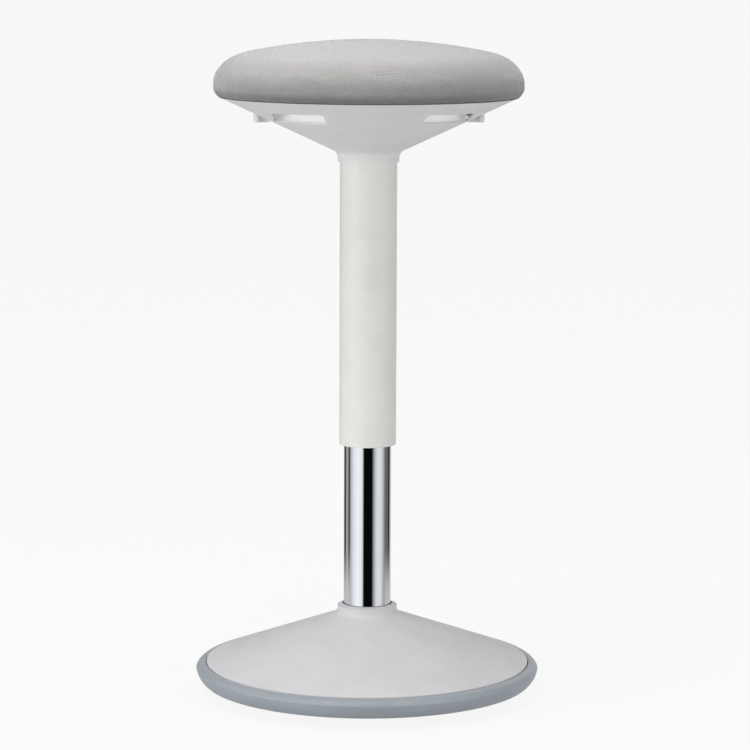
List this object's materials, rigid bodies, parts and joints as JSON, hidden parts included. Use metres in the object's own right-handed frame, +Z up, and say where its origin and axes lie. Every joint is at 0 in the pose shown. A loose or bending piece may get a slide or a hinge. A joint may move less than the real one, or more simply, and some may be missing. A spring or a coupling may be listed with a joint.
{
  "type": "wobble stool",
  "caption": "Height-adjustable wobble stool with a rocking weighted base, gas-lift column, windowed seat shell with two release levers and a round padded seat.",
  "frame": {"origin": "on the floor under the middle of the sole, which is the middle of the box's underside", "axes": "+Z up along the column, -Y the front, +X the sitter's lever side on the right of the picture"},
  "size_m": [0.3639, 0.364, 0.6922],
  "materials": {
    "shell_plastic": "satin white with a fine moulded grain",
    "tube_plastic": "smooth satin off-white",
    "lever_plastic": "satin white",
    "slide_plastic": "smooth low-friction plastic",
    "ring_rubber": "matt blue-grey",
    "sole_rubber": "matt black with a fine grip grain",
    "column_chrome": "polished",
    "zinc_steel": "zinc plated",
    "ballast_steel": "black powder coat",
    "black_steel": "black powder coat",
    "cage_brass": "stamped",
    "piston_aluminium": "turned",
    "board_plywood": "sanded plywood",
    "pad_foam": "open-cell foam",
    "pad_fabric": "warm-grey fine weave"
  },
  "bodies": {
    "base": {"rubber_sole": "sole_rubber", "base_ring": "ring_rubber", "ballast_plate": "ballast_steel", "base_shell": "shell_plastic", "base_screws": "zinc_steel", "column_socket": "black_steel", "socket_bolts": "zinc_steel", "column_tube": "column_chrome", "guide_bush": "slide_plastic", "bearing_seat": "zinc_steel", "lower_race": "zinc_steel"},
    "bearing_cage": {"ball_cage": "cage_brass", "bearing_balls": "column_chrome"},
    "rod": {"upper_race": "zinc_steel", "piston_rod": "column_chrome", "rod_clip": "zinc_steel", "bump_stop": "sole_rubber", "piston": "piston_aluminium", "piston_seal": "sole_rubber"},
    "seat": {"gas_cylinder": "black_steel", "cylinder_gland": "piston_aluminium", "shroud_tube": "tube_plastic", "shroud_glide": "slide_plastic", "hub_spacer": "slide_plastic", "seat_shell": "shell_plastic", "seat_bracket": "black_steel", "seat_board": "board_plywood", "insert_nuts": "zinc_steel", "seat_bolts": "zinc_steel", "seat_foam": "pad_foam", "seat_cover": "pad_fabric", "lever_pins": "zinc_steel"},
    "left_lever": {"left_lever": "lever_plastic"},
    "right_lever": {"right_lever": "lever_plastic"},
    "valve": {"valve_cap": "slide_plastic"}
  },
  "joints": [
    {"name": "seat_swivel", "type": "hinge", "parent": "base", "child": "rod", "pos_m": [0, 0, 0.0435], "axis": [0, 0, 1], "continuous": true},
    {"name": "cage_roll", "type": "hinge", "parent": "base", "child": "bearing_cage", "pos_m": [0, 0, 0.0435], "axis": [0, 0, 1], "continuous": true},
    {"name": "height_slide", "type": "slide", "parent": "rod", "child": "seat", "axis": [0, 0, 1], "range_m": [-0.16, 0.07]},
    {"name": "left_lever_lift", "type": "hinge", "parent": "seat", "child": "left_lever", "pos_m": [-0.034, 0, 0.617], "axis": [0, 1, 0], "range_deg": [0, 4.5], "stiffness_Nm_per_rad": 6, "springref_deg": -2.86},
    {"name": "right_lever_lift", "type": "hinge", "parent": "seat", "child": "right_lever", "pos_m": [0.034, 0, 0.617], "axis": [0, -1, 0], "range_deg": [0, 4.5]},
    {"name": "valve_press", "type": "slide", "parent": "seat", "child": "valve", "axis": [0, 0, -1], "range_m": [0, 0.00215]}
  ],
  "couplings": [
    {"joint": "cage_roll", "follows": "seat_swivel", "ratio": 0.5},
    {"joint": "right_lever_lift", "follows": "left_lever_lift", "ratio": 1},
    {"joint": "valve_press", "follows": "left_lever_lift", "m_per_rad": 0.027}
  ]
}
